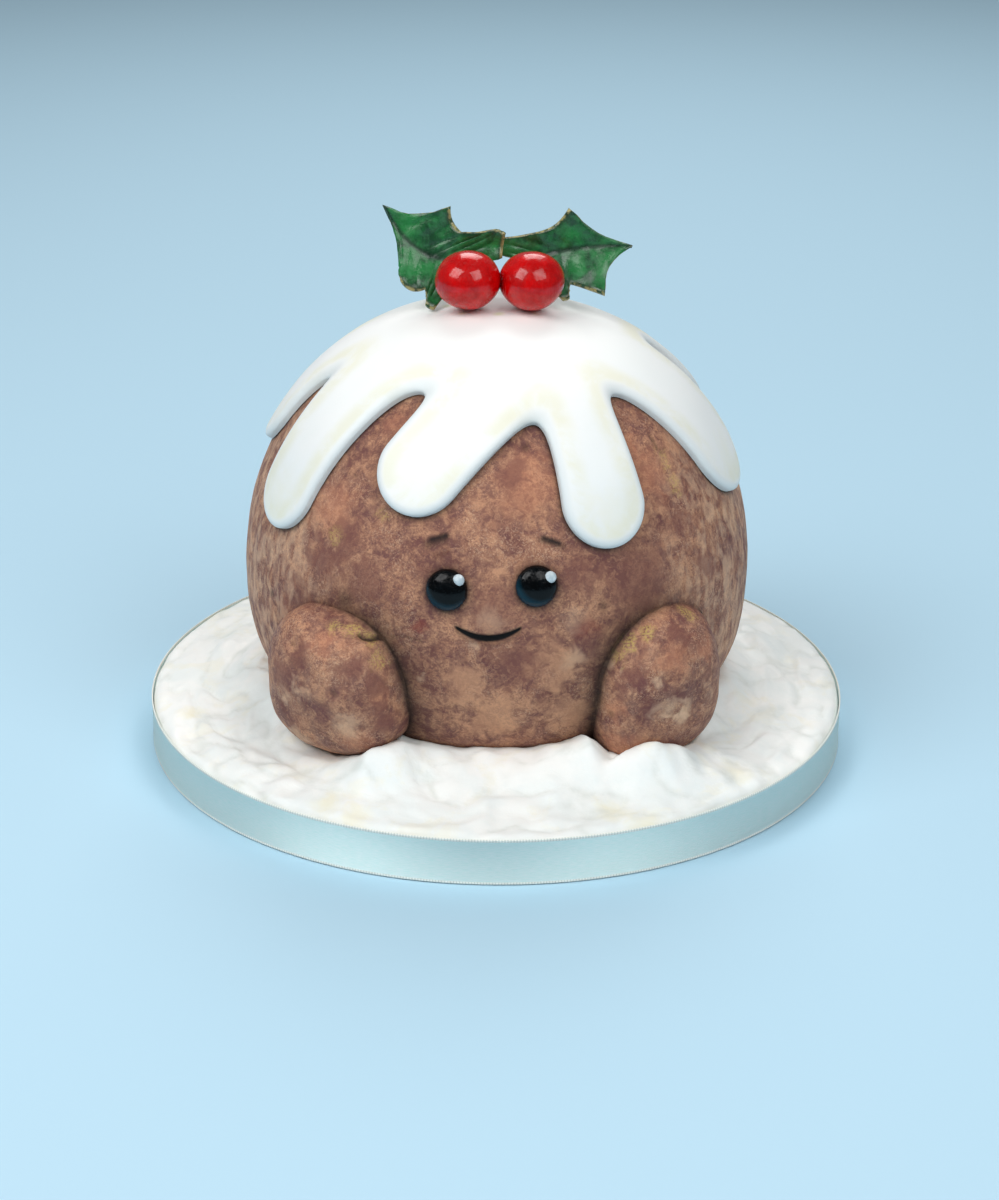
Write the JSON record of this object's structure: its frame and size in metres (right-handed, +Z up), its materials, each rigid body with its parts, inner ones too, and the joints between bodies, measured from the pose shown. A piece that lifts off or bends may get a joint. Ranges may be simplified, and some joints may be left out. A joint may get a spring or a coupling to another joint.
{
  "type": "christmas pudding cake",
  "caption": "Ball-shaped celebration cake made like a smiling christmas pudding, with poured white icing, berries and holly, on a round iced board edged with ribbon.",
  "frame": {"origin": "centre of the cake board's underside, on the table", "axes": "+Z up; the face looks to -Y; +X to the right of somebody who looks at the face"},
  "size_m": [0.23, 0.23, 0.1753],
  "materials": {
    "drum_foil": "board wrapped in embossed silver paper foil",
    "satin_ribbon": "pale ice-blue double satin with fine white selvedges",
    "snow_paste": "soft ruffled white sugar paste with faint cream shading",
    "pudding_paste": "brown sugar paste, mottled tan and plum with dusting colours",
    "white_icing": "smooth white sugar paste",
    "black_gloss": "glazed black sugar paste",
    "eye_white": "white sugar paste",
    "berry_red": "glazed red sugar paste",
    "holly_green": "green petal paste with dusted and gold-brushed rims"
  },
  "bodies": {
    "root": {"cake_board": "drum_foil", "ribbon": "satin_ribbon", "snow_icing": "snow_paste", "pudding": "pudding_paste", "foot_left": "pudding_paste", "foot_right": "pudding_paste", "icing_cap": "white_icing", "eye_left": "black_gloss", "eye_right": "black_gloss", "eye_dot_left": "eye_white", "eye_dot_right": "eye_white", "berry_left": "berry_red", "berry_right": "berry_red", "leaf_left": "holly_green", "leaf_right": "holly_green"}
  },
  "joints": []
}
